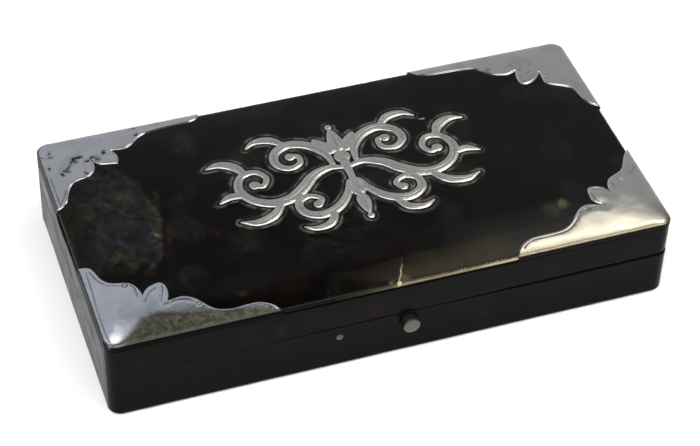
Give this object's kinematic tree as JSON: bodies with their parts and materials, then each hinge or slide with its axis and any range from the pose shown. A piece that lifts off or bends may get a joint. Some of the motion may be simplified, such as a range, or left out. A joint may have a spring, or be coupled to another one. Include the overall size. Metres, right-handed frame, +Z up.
{
  "type": "pin box",
  "caption": "Flat oblong hinged box for pins and needles, dark shell veneer on wood, silver corner mounts and scroll mount, push-button catch, lined divided tray with a pincushion.",
  "frame": {"origin": "centre of the underside, on the surface that the box stands on", "axes": "+X along the box's length towards its right end as seen from the catch, +Y from the catch towards the hinges, +Z up"},
  "size_m": [0.15, 0.0799, 0.0258],
  "materials": {
    "shell": "dark tortoiseshell veneer, worn satin polish",
    "silver": "silver, lightly tarnished and scratched",
    "wood": "stained hardwood, waxed",
    "brass": "aged brass, satin",
    "steel": "oiled spring steel",
    "velvet": "short crimson velvet",
    "silk": "faded gold silk satin",
    "cloth": "dark glazed cotton cloth"
  },
  "bodies": {
    "tray": {"tray_front_wall": "wood", "tray_back_wall": "wood", "tray_left_wall": "wood", "tray_right_wall": "wood", "tray_bottom_board": "wood", "tray_underside_cover": "cloth", "tray_front_veneer": "shell", "tray_back_veneer": "shell", "tray_left_veneer": "shell", "tray_right_veneer": "shell", "tray_wall_lining": "velvet", "tray_floor_lining": "velvet", "divider_left": "velvet", "divider_middle": "velvet", "divider_right": "velvet", "pincushion": "velvet", "hinge_left_tray_leaf": "brass", "hinge_left_pin": "steel", "hinge_right_tray_leaf": "brass", "hinge_right_pin": "steel", "hinge_tray_nails": "brass", "catch_rivet": "silver", "catch_plate": "brass", "catch_plate_nails": "brass"},
    "lid": {"lid_front_wall": "wood", "lid_back_wall": "wood", "lid_left_wall": "wood", "lid_right_wall": "wood", "lid_top_board": "wood", "lid_crown": "wood", "lid_front_veneer": "shell", "lid_back_veneer": "shell", "lid_left_veneer": "shell", "lid_right_veneer": "shell", "lid_shell_panel": "shell", "lid_wall_lining": "silk", "lid_silk_pad": "silk", "corner_mount_front_left": "silver", "corner_mount_front_right": "silver", "corner_mount_back_left": "silver", "corner_mount_back_right": "silver", "corner_mount_pins": "silver", "scroll_mount": "silver", "hinge_left_lid_leaf": "brass", "hinge_right_lid_leaf": "brass", "hinge_lid_nails": "brass", "strike_plate": "brass", "strike_plate_nails": "brass"},
    "catch": {"catch_button": "silver", "catch_hook": "steel", "catch_spring": "steel"}
  },
  "joints": [
    {"name": "lid_hinge", "type": "hinge", "parent": "tray", "child": "lid", "pos_m": [0, 0.0372, 0.01413], "axis": [-1, 0, 0], "range_deg": [0, 100]},
    {"name": "catch_press", "type": "slide", "parent": "tray", "child": "catch", "axis": [0, 1, 0], "range_m": [0, 0.001], "stiffness_N_per_m": 2000, "springref_m": -0.0005, "deforming": ["catch_spring"]}
  ]
}
